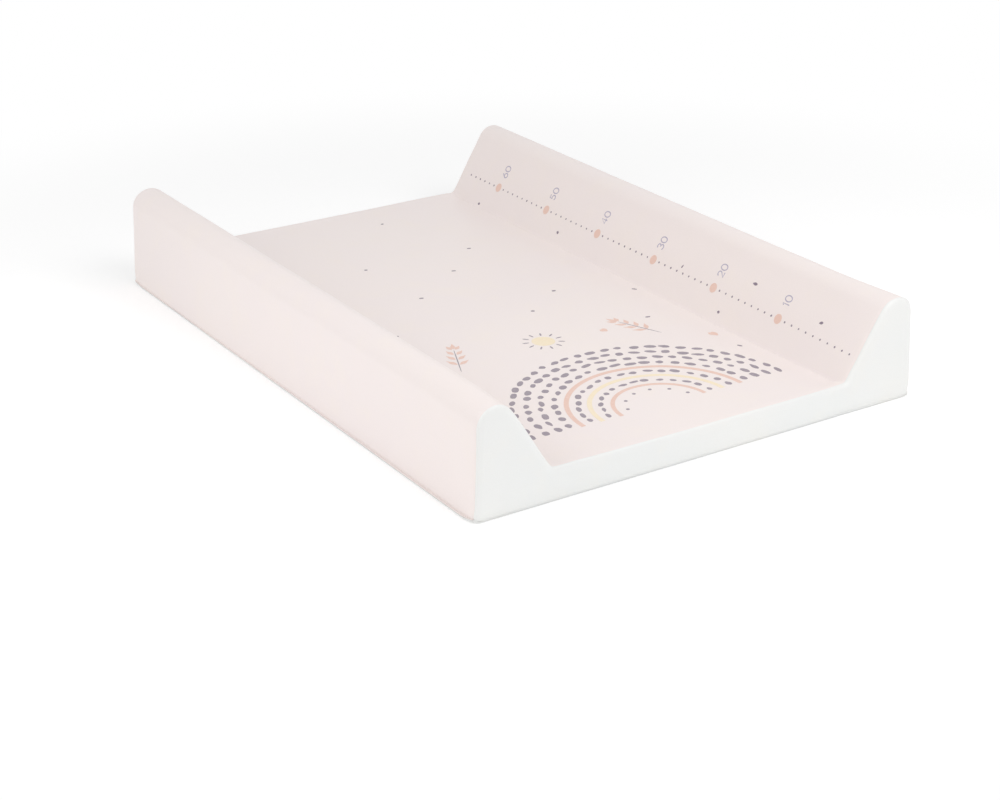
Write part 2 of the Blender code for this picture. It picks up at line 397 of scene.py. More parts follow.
def drawFootPanel():
    radius = footRoll["high"]
    depth = radius + skin["gap"]
    panel = drawPanel("frontPanel", -1, seamY, depth, radius, footRoll["steps"])
    selectAll()
    bpy.ops.transform.resize(value=(1, footRoll["deep"] / depth, 1), center_override=(0, -seamY, 0))
    gridFace(-seamY - footRoll["deep"], skin["faceStep"])
    nothingSelected()
    atHem = footRoll["deepAtHem"] / footRoll["deep"]
    for vert in panel.data.vertices:
        share = atHem + (1 - atHem) * rise(vert.co.z, hemTop, footRoll["easeHeight"])
        vert.co.y = -seamY + (vert.co.y + seamY) * share
    turnHem(panel, skin["hemWidth"], -halfLength - skin["hemWidth"], -seamY)
    # in front only a narrow edge of the hem stands out from under the face
    faceFoot = seamY + footRoll["deepAtHem"]
    shorter = (halfLength + skin["hemWidth"] - faceFoot) / skin["hemWidth"]
    for vert in panel.data.vertices:
        if same(vert.co.z, hemTop) and -vert.co.y > faceFoot:
            vert.co.y = -faceFoot + (vert.co.y + faceFoot) * shorter
    return panel


def drawHeadPanel():
    radius = headRoll["radius"]
    depth = radius + skin["gap"]
    panel = drawPanel("rearPanel", 1, curlY - skin["gap"], depth, radius, headRoll["steps"])
    rim = curlY + radius * math.sin(math.radians(headRoll["panelTurn"]))
    pick("FACE", lambda f: all(v.co.y < rim + tiny for v in f.verts))
    bpy.ops.mesh.delete(type="FACE")
    gridFace(halfLength, skin["faceStep"])
    nothingSelected()
    turnHem(panel, skin["hemWidth"], rim, halfLength)
    return panel


def drawFoam(name, side):
    # side 0 is the slab under everything, -1 and 1 the wedges glued on it
    step = 0.012
    half = halfLength - foamInset
    slabTop = lying - foamInset
    if side:
        bottom = glueLine
        pen = Pen(name, slopeX(bottom, foamInset), -half, bottom)
        reach = section["topRadius"] - foamInset
        lineAngle = slope + math.pi / 2
        pen.line(topX + reach * math.cos(lineAngle), topZ + reach * math.sin(lineAngle), step / 2)
        pen.arc(topX, topZ, wallAngle - lineAngle, step / 3)
        pen.line(wallX(bottom, foamInset), bottom, step)
    else:
        bottom = hemTop - skin["film"]
        pen = Pen(name, 0, -half, slabTop)
        pen.line(wallX(slabTop, foamInset), slabTop, step)
        pen.line(wallX(bottom, foamInset), bottom, step)
        pen.line(0, bottom, step)
    foam = pen.finish(mirrored=not side)
    editMesh(foam)
    selectAll()
    if side < 0:
        bpy.ops.transform.resize(value=(-1, 1, 1), center_override=(0, 0, 0))
    fillAndPull(2 * half)
    rollEnds([-half, half], foamRound, 4, bottom)
    pick("EDGE", lambda e: abs(e.verts[0].co.y - e.verts[1].co.y) > half)
    bpy.ops.mesh.subdivide(number_cuts=round(2 * half / step) - 1)
    nothingSelected()
    return foam


def drawBacking():
    # the film underneath, with round corners; its edge is divided finely, so that the hem can wave
    width = panelHigh.x
    length = halfLength + skin["hemWidth"]
    nothingSelected()
    bpy.ops.mesh.primitive_plane_add(size=2)
    backing = bpy.context.object
    backing.name = backing.data.name = "backingSheet"
    lifted = Matrix.Translation((0, 0, skin["baseFilm"]))
    backing.data.transform(lifted @ Matrix.Diagonal((width, length, 1, 1)))
    editMesh(backing)
    selectAll()
    bpy.ops.mesh.bevel(offset=cornerRound, segments=10, affect="VERTICES", clamp_overlap=False)
    rim = (0.003, 0.006, 0.010, 0.015)
    for axis, half in ((0, width), (1, length)):
        steps = [side * (half - inset) for inset in rim for side in (-1, 1)]
        count = math.floor(2 * half / 0.012)
        steps += [half * (2 * place / count - 1) for place in range(2, count - 1)]
        for step in steps:
            place, direction = [0, 0, 0], [0, 0, 0]
            place[axis], direction[axis] = step, 1
            selectAll()
            bpy.ops.mesh.bisect(plane_co=place, plane_no=direction)
    selectAll()
    bpy.ops.mesh.remove_doubles(threshold=tiny)
    nothingSelected()
    return backing


cover = drawCover()
frontPanel = drawFootPanel()
rearPanel = drawHeadPanel()
backing = drawBacking()
foamSlab = drawFoam("foamSlab", 0)
leftWedge = drawFoam("leftFoamWedge", -1)
rightWedge = drawFoam("rightFoamWedge", 1)
for made in (cover, frontPanel, rearPanel, backing, foamSlab, leftWedge, rightWedge):
    print(made.name, len(made.data.vertices), "vertices",
          sum(1 for e in made.data.edges if e.is_loose), "loose edges")

skins = [cover, frontPanel, rearPanel, backing]
foams = [foamSlab, leftWedge, rightWedge]
print("skins and foam drawn")


# The print: flat marks in the XY plane, stamped on the lying surface or on the right slope
ruler = {
    "zeroFromFoot": 0.0156,                 # the first dot, from the foot end
    "headSlide": 0.0032,
    "footSlide": 0.0029,
    "upSlope": 0.0275,
    "sag": 0.0025,                          # the line comes down by this towards the foot end
    "lastDot": 66,                          # cm
    "dot": 0.0021,
    "oval": (0.0103, 0.0097),
    "numeralFoot": 0.0402,
    "numeralBack": 0.0010,
    "digitSize": (0.0070, 0.0098),
    "digitPitch": 0.0080,
    "onePitch": 0.0058,                     # after the narrow 1
    "stroke": 0.0013,
}
ink = {
    "proud": 0.00012,
    "thick": 0.00026,
}
specks = {                                  # place, length, width and turn in degrees
    "slope": [
        ((0.0027, 0.2889), 0.0050, 0.0036, 134),
        ((0.0111, 0.1320), 0.0040, 0.0028, 75),
        ((0.0340, -0.0753), 0.0042, 0.0017, -19),
        ((0.0493, -0.1812), 0.0064, 0.0035, 93),
        ((0.0095, -0.1520), 0.0034, 0.0023, 90),
        ((0.0406, -0.2841), 0.0051, 0.0031, 113),
    ],
    "flat": [
        ((0.0364, 0.2916), 0.0036, 0.0028, 15),
        ((-0.0549, 0.1676), 0.0038, 0.0028, -20),
        ((0.0742, 0.1665), 0.0048, 0.0026, -10),
        ((0.0221, 0.1141), 0.0050, 0.0026, -25),
        ((-0.0491, 0.0625), 0.0048, 0.0028, -12),
        ((0.0768, 0.0056), 0.0044, 0.0032, -10),
        ((0.1516, -0.0331), 0.0058, 0.0030, -48),
        ((0.1132, -0.1077), 0.0054, 0.0028, -15),
        ((0.1441, -0.2146), 0.0052, 0.0036, -50),
        ((-0.1235, -0.0160), 0.0044, 0.0028, 25),
        ((0.0270, -0.0300), 0.0042, 0.0030, -30),
        ((-0.1290, 0.2390), 0.0040, 0.0028, 10),
    ],
}
rainbow = {                                 # generic design in the print's colours and scale
    "centre": (-0.004, -0.290),
    "dabRows": [                            # radius, and size against the dab's
        (0.1380, 1.00),
        (0.1250, 1.04),
        (0.1120, 0.98),
        (0.0990, 1.00),
        (0.0780, 0.88),
        (0.0570, 0.82),
    ],
    "dab": (0.0108, 0.0060),
    "dabGap": 0.0040,
    "bands": [("peach", 0.0885, 0.0046), ("yellow", 0.0675, 0.0046), ("peach", 0.0465, 0.0040)],
    "dots": (0.0350, 0.0036, 6),
}
sprigs = [                                  # foot of the stem, heading in degrees and length
    ((-0.118, -0.128), 66, 0.062),
    ((0.100, -0.150), 112, 0.056),
]
leaves = {
    "pairs": 4,
    "first": 0.30,                          # place on the stem, in shares of its length
    "span": 0.58,
    "spread": (44, 5),                      # degrees, and how much less with each pair
    "reach": 0.0085,
    "length": (0.0128, 0.0012),
    "width": 0.0050,
    "tip": (1.06, 0.0120, 0.0046),          # place in shares of the stem, length and width
    "stem": (0.47, 0.90, 0.0011),           # place and length in shares, and width
}
sun = {
    "centre": (-0.010, -0.104),
    "radius": 0.0115,
    "rays": 11,
    "ray": (0.0068, 0.0018),
    "reach": 0.0178,
}
hearts = [                                  # place, size and turn in degrees
    ((0.142, -0.176), 0.0100, 12),
    ((-0.150, -0.176), 0.0085, -18),
    ((0.056, -0.112), 0.0078, 20),
]
shaker = random.Random(7)


def flatPlace(x, y, turn=0):
    place = Matrix.Translation((x, y, lying - coverInset + ink["proud"]))
    return place @ Matrix.Rotation(math.radians(turn), 4, "Z")


def slopePlace(up, y, turn=0):
    x = footX + up * math.cos(slope) + (coverInset - ink["proud"]) * math.sin(slope)
    z = lying + up * math.sin(slope) - (coverInset - ink["proud"]) * math.cos(slope)
    place = Matrix.Translation((x, y, z)) @ Matrix.Rotation(-slope, 4, "Y")
    return place @ Matrix.Rotation(math.radians(turn), 4, "Z")


def rulerY(mark):
    # the film is stretched a little towards both ends
    y = -halfLength + ruler["zeroFromFoot"] + mark / 100
    return y - ruler["headSlide"] * rise(y, 0, 0.36) - ruler["footSlide"] * rise(-y, 0.23, 0.335)


def rulerPlace(mark, turn=0):
    y = rulerY(mark)
    return slopePlace(ruler["upSlope"] - ruler["sag"] * rise(-y, 0.15, 0.36), y, turn)


def drawBlank(name, corners, shaping=()):
    # a flat disc one unit across, then some of its corners moved or drawn in
    nothingSelected()
    bpy.ops.mesh.primitive_circle_add(vertices=corners, radius=0.5, fill_type="NGON")
    blank = bpy.context.object
    blank.name = blank.data.name = name
    editMesh(blank)
    for test, scale, move in shaping:
        pick("VERT", test)
        bpy.ops.transform.resize(value=scale, center_override=(0, 0, 0))
        bpy.ops.transform.translate(value=move)
    nothingSelected()
    return blank


def stamp(marks, colour, blank, place, length=1, width=1):
    # one copy of a blank, with a mesh of its own, laid at its place
    copy = bpy.data.objects.new(colour + "Mark", blank.data.copy())
    bpy.context.collection.objects.link(copy)
    copy.data.transform(place @ Matrix.Diagonal((length, width, 1, 1)))
    marks.setdefault(colour, []).append(copy)


def drawBand(radius, width, steps=56):
    # a flat half ring, with its ends rounded by the spin of their edge
    nothingSelected()
    bpy.ops.mesh.primitive_plane_add(size=1)
    band = bpy.context.object
    editMesh(band)
    pick("VERT", lambda v: v.co.y > 0)
    bpy.ops.mesh.delete(type="VERT")
    selectAll()
    bpy.ops.transform.resize(value=(width, 0, 1), center_override=(0, 0, 0))
    bpy.ops.transform.translate(value=(radius, 0, 0))
    bpy.ops.mesh.spin(steps=steps, angle=math.pi, center=(0, 0, 0), axis=(0, 0, -1))
    faceOutwards()
    nothingSelected()
    return band


def bow(x, y, wide, high, start, end, steps=12):
    # points along an arc of an ellipse, angles in degrees
    angles = [math.radians(start + (end - start) * step / steps) for step in range(steps + 1)]
    return [(x + wide * math.cos(a), y + high * math.sin(a)) for a in angles]


digitStrokes = {                            # in shares of the digit's box
    "0": [bow(0.5, 0.5, 0.47, 0.46, 90, 450, 28)],
    "1": [[(0.20, 0.78), (0.46, 0.96), (0.46, 0.04)]],
    "2": [bow(0.50, 0.69, 0.38, 0.27, 165, -38) + [(0.10, 0.05), (0.92, 0.05)]],
    "3": [bow(0.46, 0.73, 0.36, 0.23, 150, -85) + bow(0.46, 0.29, 0.42, 0.25, 85, -150)],
    "4": [[(0.68, 0.04), (0.68, 0.96), (0.06, 0.28), (0.94, 0.28)]],
    "5": [[(0.82, 0.95), (0.26, 0.95), (0.20, 0.54)] + bow(0.46, 0.32, 0.40, 0.28, 125, -145)],
    "6": [[(0.70, 0.96), (0.26, 0.58)] + bow(0.50, 0.33, 0.38, 0.29, 145, 505, 26)],
}


def drawNumeral(text, mark):
    # thin round strokes, drawn in the XY plane as tubes and then pressed flat
    made = []
    wide, high = ruler["digitSize"]
    foot = slopePlace(ruler["numeralFoot"], rulerY(mark) - ruler["numeralBack"])
    flatten = Matrix.Diagonal((1, 1, 2 * ink["proud"] / ruler["stroke"], 1))
    sunk = Matrix.Translation((0, 0, -ink["proud"]))
    left = 0
    for digit in text:
        for stroke in digitStrokes[digit]:
            line = bpy.data.curves.new("digit", "CURVE")
            line.dimensions = "3D"
            line.bevel_depth = ruler["stroke"] / 2
            line.bevel_resolution = 1
            line.use_fill_caps = True
            closed = stroke[0] == stroke[-1] or math.dist(stroke[0], stroke[-1]) < 0.01
            points = stroke[:-1] if closed else stroke
            spline = line.splines.new("POLY")
            spline.points.add(len(points) - 1)
            for point, (x, y) in zip(spline.points, points):
                point.co = (x * wide + left, (y - 0.5) * high, 0, 1)
            spline.use_cyclic_u = closed
            tube = bpy.data.objects.new("digit", line)
            bpy.context.collection.objects.link(tube)
            makeActive(tube)
            bpy.ops.object.convert(target="MESH")
            tube = bpy.context.object
            tube.data.transform(foot @ sunk @ flatten)
            editMesh(tube)
            selectAll()
            bpy.ops.mesh.remove_doubles(threshold=tiny / 2)
            faceOutwards()
            nothingSelected()
            made.append(tube)
        left += ruler["onePitch"] if digit == "1" else ruler["digitPitch"]
    return made


def joinAll(name, parts):
    makeActive(*parts)
    bpy.ops.object.join()
    joined = bpy.context.object
    joined.name = joined.data.name = name
    return joined


def drawPrint():
    marks = {}
    disc = drawBlank("disc", 14)
    sunDisc = drawBlank("sunDisc", 28)
    small = drawBlank("small", 8)
    dabs = [
        drawBlank("plainDab", 12),
        drawBlank("dropDab", 12, [(lambda v: v.co.x > 0.1, (1, 0.72, 1), (0, 0, 0))]),
        drawBlank("beanDab", 12, [(lambda v: abs(v.co.x) < 0.3, (1, 1, 1), (0, 0.07, 0))]),
        drawBlank("stubDab", 12, [(lambda v: abs(v.co.x) > 0.3, (1, 1.35, 1), (0, 0, 0))]),
    ]
    leaf = drawBlank("leaf", 16, [
        (lambda v: v.co.x > 0.15, (1, 0.66, 1), (0, 0, 0)),
        (lambda v: v.co.x > 0.35, (1.12, 0.5, 1), (0, 0, 0)),
        (lambda v: v.co.x < -0.35, (1.06, 0.7, 1), (0, 0, 0)),
    ])
    heart = drawBlank("heart", 20, [
        (lambda v: v.co.y > 0.3 and abs(v.co.x) < 0.05, (1, 1, 1), (0, -0.22, 0)),
        (lambda v: v.co.y > 0.3 and 0.05 < abs(v.co.x) < 0.2, (1, 1, 1), (0, -0.06, 0)),
        (lambda v: v.co.y < -0.45, (1, 1, 1), (0, -0.10, 0)),
        (lambda v: v.co.y < -0.25, (0.82, 1, 1), (0, 0, 0)),
    ])

    for mark in range(ruler["lastDot"] + 1):
        if mark % 10 or mark == 0:
            size = ruler["dot"] * shaker.uniform(0.92, 1.08)
            stamp(marks, "plum", small, rulerPlace(mark, shaker.uniform(-40, 40)), size * 1.1, size * 0.92)
        else:
            stamp(marks, "peach", disc, rulerPlace(mark), *ruler["oval"])
    for place, length, width, turn in specks["slope"]:
        stamp(marks, "plum", dabs[1], slopePlace(*place, turn), length, width)
    for place, length, width, turn in specks["flat"]:
        stamp(marks, "plum", dabs[3], flatPlace(*place, turn), length, width)

    centreX, centreY = rainbow["centre"]

    def around(x, y, radius, angle, turn=0):
        x, y = x + radius * math.cos(angle), y + radius * math.sin(angle)
        return flatPlace(x, y, math.degrees(angle) + turn)

    for row, (radius, size) in enumerate(rainbow["dabRows"]):
        length, width = (side * size for side in rainbow["dab"])
        count = round(math.pi * radius / (length + rainbow["dabGap"]))
        for place in range(count):
            angle = math.pi * (place + 0.5 + 0.10 * shaker.uniform(-1, 1)) / count
            reach = radius + shaker.uniform(-0.0011, 0.0011)
            spot = around(centreX, centreY, reach, angle, 90 + shaker.uniform(-13, 13))
            stamp(marks, "mauve", shaker.choice(dabs), spot,
                  length * shaker.uniform(0.66, 1.16), width * shaker.uniform(0.78, 1.20))
    for colour, radius, width in rainbow["bands"]:
        band = drawBand(radius, width)
        stamp(marks, colour, band, flatPlace(centreX, centreY))
        bpy.data.objects.remove(band)
    radius, size, count = rainbow["dots"]
    for place in range(count):
        angle = math.pi * (place + 0.5) / count
        stamp(marks, "mauve", disc, around(centreX, centreY, radius, angle), size, size)

    for (x, y), heading, length in sprigs:
        foot = flatPlace(x, y, heading)
        for pair in range(leaves["pairs"]):
            along = length * (leaves["first"] + leaves["span"] * pair / (leaves["pairs"] - 1))
            spread, size = (most - less * pair for most, less in (leaves["spread"], leaves["length"]))
            root = foot @ Matrix.Translation((along, 0, 0))
            for side in (-1, 1):
                tilt = Matrix.Rotation(math.radians(side * spread), 4, "Z")
                tilt = tilt @ Matrix.Translation((leaves["reach"], 0, 0))
                stamp(marks, "peach", leaf, root @ tilt, size, leaves["width"])
        share, size, width = leaves["tip"]
        tip = foot @ Matrix.Translation((length * share, 0, 0))
        stamp(marks, "peach", leaf, tip, size, width)
        share, size, width = leaves["stem"]
        stem = foot @ Matrix.Translation((length * share, 0, 0))
        stamp(marks, "mauve", dabs[0], stem, length * size, width)

    x, y = sun["centre"]
    stamp(marks, "yellow", sunDisc, flatPlace(x, y), 2 * sun["radius"], 2 * sun["radius"])
    for ray in range(sun["rays"]):
        angle = math.tau * ray / sun["rays"]
        stamp(marks, "mauve", dabs[0], around(x, y, sun["reach"], angle), *sun["ray"])
    for (x, y), size, turn in hearts:
        stamp(marks, "peach", heart, flatPlace(x, y, turn), size, size)

    for blank in (disc, sunDisc, small, leaf, heart, *dabs):
        bpy.data.objects.remove(blank)
    pieces = {colour: joinAll(colour + "Print", parts) for colour, parts in marks.items()}
    numerals = [tube for ten in range(1, 7) for tube in drawNumeral(str(ten * 10), ten * 10)]
    pieces["lilac"] = joinAll("numerals", numerals)
    return pieces


prints = drawPrint()
print("print laid:", ", ".join(piece.name for piece in prints.values()))


# How far the film and foam give, apart from their drawn form
give = {
    "slow": (0.0007, 0.17),                 # depth and reach of the slow unevenness of the foam
    "quick": (0.00022, 0.055),
    "recess": 0.0002,                       # the ears' end faces stand back from the slab's by this
    "hemLift": 0.0003,
    "cornerLift": 0.0016,
    "cornerReach": 0.006,                   # the low corners are drawn in round from here
    "tuck": 0.00035,
    "slopeSwell": 0.0018,                   # the inner slopes swell in their middle
    "slopeAtFoot": {-1: -0.0005, 1: 0.0003},        # and less at the ends, left and right
    "slopeAtHead": {-1: 0.0008, 1: 0.0008},
    "valleyDip": 0.0018,                    # the film goes down into the crease before each bolster
    "valleyDipMore": 0.0016,                # and further here, along the mat
    "valleyDipPlace": (-0.22, 0.15),
    "creaseSharp": 0.92,
    "creaseAtEnds": 0.25,
    "dents": {-1: (0.0010, 42), 1: (0.0007, 52)},   # in the inner shoulders at the foot end, with angles
    "dentLength": 0.045,
    "wallSwell": {-1: 0.0013, 1: -0.0008},  # the left one only towards the head end
    "wallSeam": 0.0012,                     # at the foot the seam runs forward on the outer walls
    "slopeSeam": 0.0013,                    # and back on the right inner slope, most at its valley
    "valleySeam": 0.0018,
    "footLift": 0.0016,                     # of the lying surface, at the foot end's left
    "topSag": {-1: 0, 1: 0.0021},
    "topLift": {-1: -0.0012, 1: -0.0005},   # at the foot end
    "shoulder": {-1: 0, 1: 0.0014},
    "headBulge": 0.0015,
    "headLift": 0.0008,
}
puff = {"voxel": 0.007, "frames": 20, "cap": 0.0016, "edge": 0.0065}
puffCloth = {
    "quality": 5,
    "mass": 0.3,
    "tension_stiffness": 30,
    "compression_stiffness": 30,
    "shear_stiffness": 15,
    "bending_stiffness": 3,
    "pin_stiffness": 2,
    "use_pressure": True,
    "uniform_pressure_force": 4,
}


def bump(value, centre, width):
    return math.exp(-((value - centre) / width) ** 2)


ventLow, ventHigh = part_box("right_vent_eyelet")
ventPlace = (ventLow + ventHigh) / 2
ventCalm = 0.012                            # within this of a vent's middle the film stays as drawn


def fromVent(p):
    return math.hypot(abs(p.x) - ventPlace.x, p.z - ventPlace.z) if p.y > 0 else 1


def unevenness(p):
    free = rise(p.z, 0.003, 0.025)
    calm = max(rise(fromVent(p), ventCalm, 0.045), 1 - rise(p.y, halfLength - 0.05, halfLength - 0.012))
    shift = Vector()
    for depth, reach in (give["slow"], give["quick"]):
        for axis in range(3):
            start = Vector((3.1, 0.4, 5.2)) * (axis + 1)
            shift[axis] += noise.noise(p / reach + start) * depth
    return shift * free * calm


def endFaceShift(p):
    # the ears stand back from the slab, with soft tucks from the valleys
    atEnd = rise(abs(p.y), halfLength - 0.012, halfLength - 0.001)
    if not atEnd or fromVent(p) < ventCalm:
        return 0
    ear = rise(abs(p.x), valleyX - 0.008, valleyX + 0.012)
    back = give["recess"] * rise(p.z, lying - 0.006, lying + 0.004) * ear * (1 - rise(p.z, 0.07, 0.1))
    fromValley = Vector((abs(p.x) - valleyX, p.z - lying + 0.004))
    angle = math.atan2(fromValley.y, fromValley.x)
    fan = bump(fromValley.length, 0.017, 0.013) * (1 if p.z < lying else 0.5)
    tuck = give["tuck"] * fan * math.cos(5 * angle + (0.6 if p.x < 0 else 1.4))
    return -math.copysign(atEnd * (back + tuck), p.y)


def hemLift(p):
    # the welded hem doesn't lie quite flat, least of all at the corners
    fromEdge = min(panelHigh.x - abs(p.x), halfLength + skin["hemWidth"] - abs(p.y))
    near = (1 - rise(fromEdge, 0.001, 0.012)) * (1 - rise(p.z, 0.004, 0.020))
    if not near:
        return 0
    wave = 0.5 + 0.5 * noise.noise(Vector((p.x, p.y, 0)) / 0.09 + Vector((0.3, 0.9, 0)))
    corner = rise(abs(p.x), 0.232, 0.2445) * rise(abs(p.y), 0.325, 0.348)
    return near * (give["hemLift"] * wave + give["cornerLift"] * corner)


def drawnIn(p):
    # the foot of each corner is rounder than its top; at the foot end the hem narrows towards it
    reach = give["cornerReach"]
    beyond = max(0, abs(p.x) - wallX(0, 0)) * 0.7 * rise(-p.y, seamY - 0.014, seamY - 0.002)
    wide = abs(p.x) - beyond
    out = Vector((wide - panelHigh.x, abs(p.y) - halfLength - skin["hemWidth"])) + Vector((reach, reach))
    low = 1 - rise(p.z, 0.0008, 0.0036)
    back = Vector((0, 0))
    if min(out) > 0:
        back = out * low * (1 - max(out) / out.length)
    return Vector((-sideOf(p) * (beyond + back.x), math.copysign(back.y, -p.y), 0))


def sideOf(p):
    return -1 if p.x < 0 else 1


def outwards(p, x, z):
    # a shift across the section, given for the right side
    return Vector((sideOf(p) * x, 0, z))


def slopeSwell(p):
    # the bolsters' inner slopes aren't flat: they swell along their middle
    x = abs(p.x)
    onSlope = rise(x, footX - 0.012, footX - 0.001) * (1 - rise(x, topX - 0.004, topX + 0.008))
    onSlope *= 1 - rise(p.z, lying + 0.030, lying + 0.072)
    if not onSlope:
        return Vector()
    toEnd = min(1, abs(p.y) / seamY)
    atEnd, power = (give["slopeAtFoot"], 4) if p.y < 0 else (give["slopeAtHead"], 3)
    swell = (give["slopeSwell"] + (atEnd[sideOf(p)] - give["slopeSwell"]) * toEnd ** power) * onSlope
    raised = rise(p.z, lying, lying + 0.020)    # along the crease the film only moves level
    level = math.sin(slope) + math.cos(slope) ** 2 / math.sin(slope) * (1 - raised)
    return outwards(p, -swell * level, swell * math.cos(slope) * raised)


def valley(p):
    # between the lying surface and a bolster the film is drawn down into a crease
    x, z = abs(p.x), p.z
    along = (1 - rise(-p.y, seamY - 0.018, seamY - 0.002)) * (1 - rise(p.y, curlY - 0.012, curlY))
    if x < footX - 0.045 or x > footX + 0.030:
        return Vector()
    out = Vector((x - valleyX, z - valleyZ))
    angle = math.atan2(out.x, -out.y)       # round the valley's centre, from straight down
    push = Vector((0, 0))
    if 0 < angle < slope:
        radius = section["valleyRadius"]
        corner = radius / math.cos(min(angle, slope - angle))
        missing = max(0, min(corner - radius, corner + coverInset - out.length))
        atEnds = give["creaseAtEnds"]
        push = out.normalized() * missing * give["creaseSharp"] * (atEnds + (1 - atEnds) * along)
    depth = give["valleyDip"] + give["valleyDipMore"] * bump(p.y, *give["valleyDipPlace"])
    depth *= rise(z, 0.004, 0.020) * (1 - rise(z, lying, lying + 0.012))
    depth *= 1 - rise(x, footX + 0.006, footX + 0.030)
    push.x -= along * depth * rise(x, footX - 0.012, footX - 0.001) / math.tan(slope)
    push.y -= along * depth * rise(x, footX - 0.042, footX - 0.001)
    return outwards(p, push.x, push.y)


def dent(p):
    # the foam gives under the film at the ends of the bolsters' inner shoulders
    out = Vector((topX - abs(p.x), p.z - topZ))
    near = 1 - rise(p.y + halfLength, 0.004, give["dentLength"])
    if not near or out.length < 0.006:
        return Vector()
    deep, middle = give["dents"][sideOf(p)]
    angle = math.degrees(math.atan2(out.y, out.x))
    deep *= near * bump(angle, middle, 30) * rise(out.length, 0.006, 0.014) / out.length
    return outwards(p, out.x * deep, -out.y * deep)


def wallSwell(p):
    # the outer walls aren't quite straight
    x = abs(p.x)
    swell = give["wallSwell"][sideOf(p)] * (1 if p.x > 0 else rise(p.y, -0.25, 0.15))
    swell *= rise(x, topX + 0.004, halfWidth - 0.006) * rise(fromVent(p), ventCalm, 0.030)
    swell *= (1 - rise(x, halfWidth + 0.0003, halfWidth + skin["hemWidth"])) * rise(p.z, 0.0009, 0.0016)
    return outwards(p, swell, 0)


def footSeam(p):
    # the seam at the foot end isn't in one plane, and the lying surface rises a little to the left
    near = rise(-p.y, seamY - 0.012, seamY) * (1 - rise(-p.y, seamY, seamY + footRoll["deep"]))
    onWall = rise(abs(p.x), topX + 0.004, halfWidth - 0.006)
    onWall *= rise(p.z, 0.004, 0.012) * (1 - rise(p.z, 0.060, 0.095))
    onSlope = rise(p.x, footX - 0.006, footX + 0.006) * (1 - rise(p.x, topX - 0.010, topX))
    back = give["slopeSeam"] * onSlope + give["valleySeam"] * bump(p.x, footX - 0.006, 0.012)
    lift = rise(-p.y, seamY - 0.070, seamY) * rise(-p.x, 0, valleyX) * rise(p.z, 0.012, lying)
    lift *= (1 - rise(-p.x, footX, footX + 0.020)) * (1 - rise(p.z, lying, lying + 0.020))
    return Vector((0, near * (back - give["wallSeam"] * onWall), give["footLift"] * lift))


def ridge(p):
    # the right bolster's top sags between its ends; at the foot its outer shoulder is full
    high = rise(p.z, 0.055, 0.095)
    if not high:
        return Vector()
    toFoot = rise(p.y + halfLength, -0.03, 0.10)
    sag = give["topSag"][sideOf(p)] * high * toFoot * (1 - rise(p.y, -0.03, 0.38))
    atFoot = 1 - rise(p.y + halfLength, 0, 0.05)
    lift = give["topLift"][sideOf(p)] * high * atFoot
    out = Vector((abs(p.x) - topX, p.z - topZ))
    full = give["shoulder"][sideOf(p)] * atFoot * bump(math.degrees(math.atan2(out.y, out.x)), 42, 30)
    full *= rise(out.length, 0.006, 0.014) / max(out.length, tiny)
    return outwards(p, out.x * full, out.y * full - sag + lift)


def headBulge(p):
    # the head end stands out a little, but not where the vents hold it
    grow = rise(p.y, halfLength - 0.030, halfLength - 0.002) * rise(fromVent(p), ventCalm, 0.030)
    low = rise(p.z, 0.010, lying) * (1 - rise(abs(p.x), valleyX - 0.010, valleyX + 0.004))
    return Vector((0, give["headBulge"] * rise(p.z, 0.002, 0.015), give["headLift"] * low)) * grow


def settle(pieces, carried=None):
    for piece in pieces:
        for vert in piece.data.vertices:
            p = vert.co.copy()
            shift = unevenness(p) + drawnIn(p)
            for part in (slopeSwell, valley, dent, wallSwell, footSeam, ridge, headBulge):
                shift += part(p)
            shift.y += endFaceShift(p)
            shift.z += hemLift(p)
            if carried:
                shift += carried(p)
            vert.co = p + shift


def drawCage():
    # the mat's whole outer form as one closed block
    pen = Pen("cage", 0, -halfLength, lying)
    pen.bolster(0)
    pen.line(wallX(0, 0), 0)
    pen.line(0, 0)
    cage = pen.finish()
    editMesh(cage)
    fillAndPull(2 * halfLength)
    rollEnds([-halfLength, halfLength], puff["edge"], 4, 0)
    nothingSelected()
    cage.data.remesh_voxel_size = puff["voxel"]
    makeActive(cage)
    bpy.ops.object.voxel_remesh()
    return cage


def heldShare(p):
    # the foam holds the film almost everywhere; it gives most at the ears and along the round tops
    if p.z < 0.012 or (p.y > 0.3 and fromVent(p) < 0.02):
        return 1
    top = rise(p.z, 0.035, 0.09)
    end = rise(abs(p.y), halfLength - 0.06, halfLength)
    return 0.85 - 0.55 * top - 0.25 * end


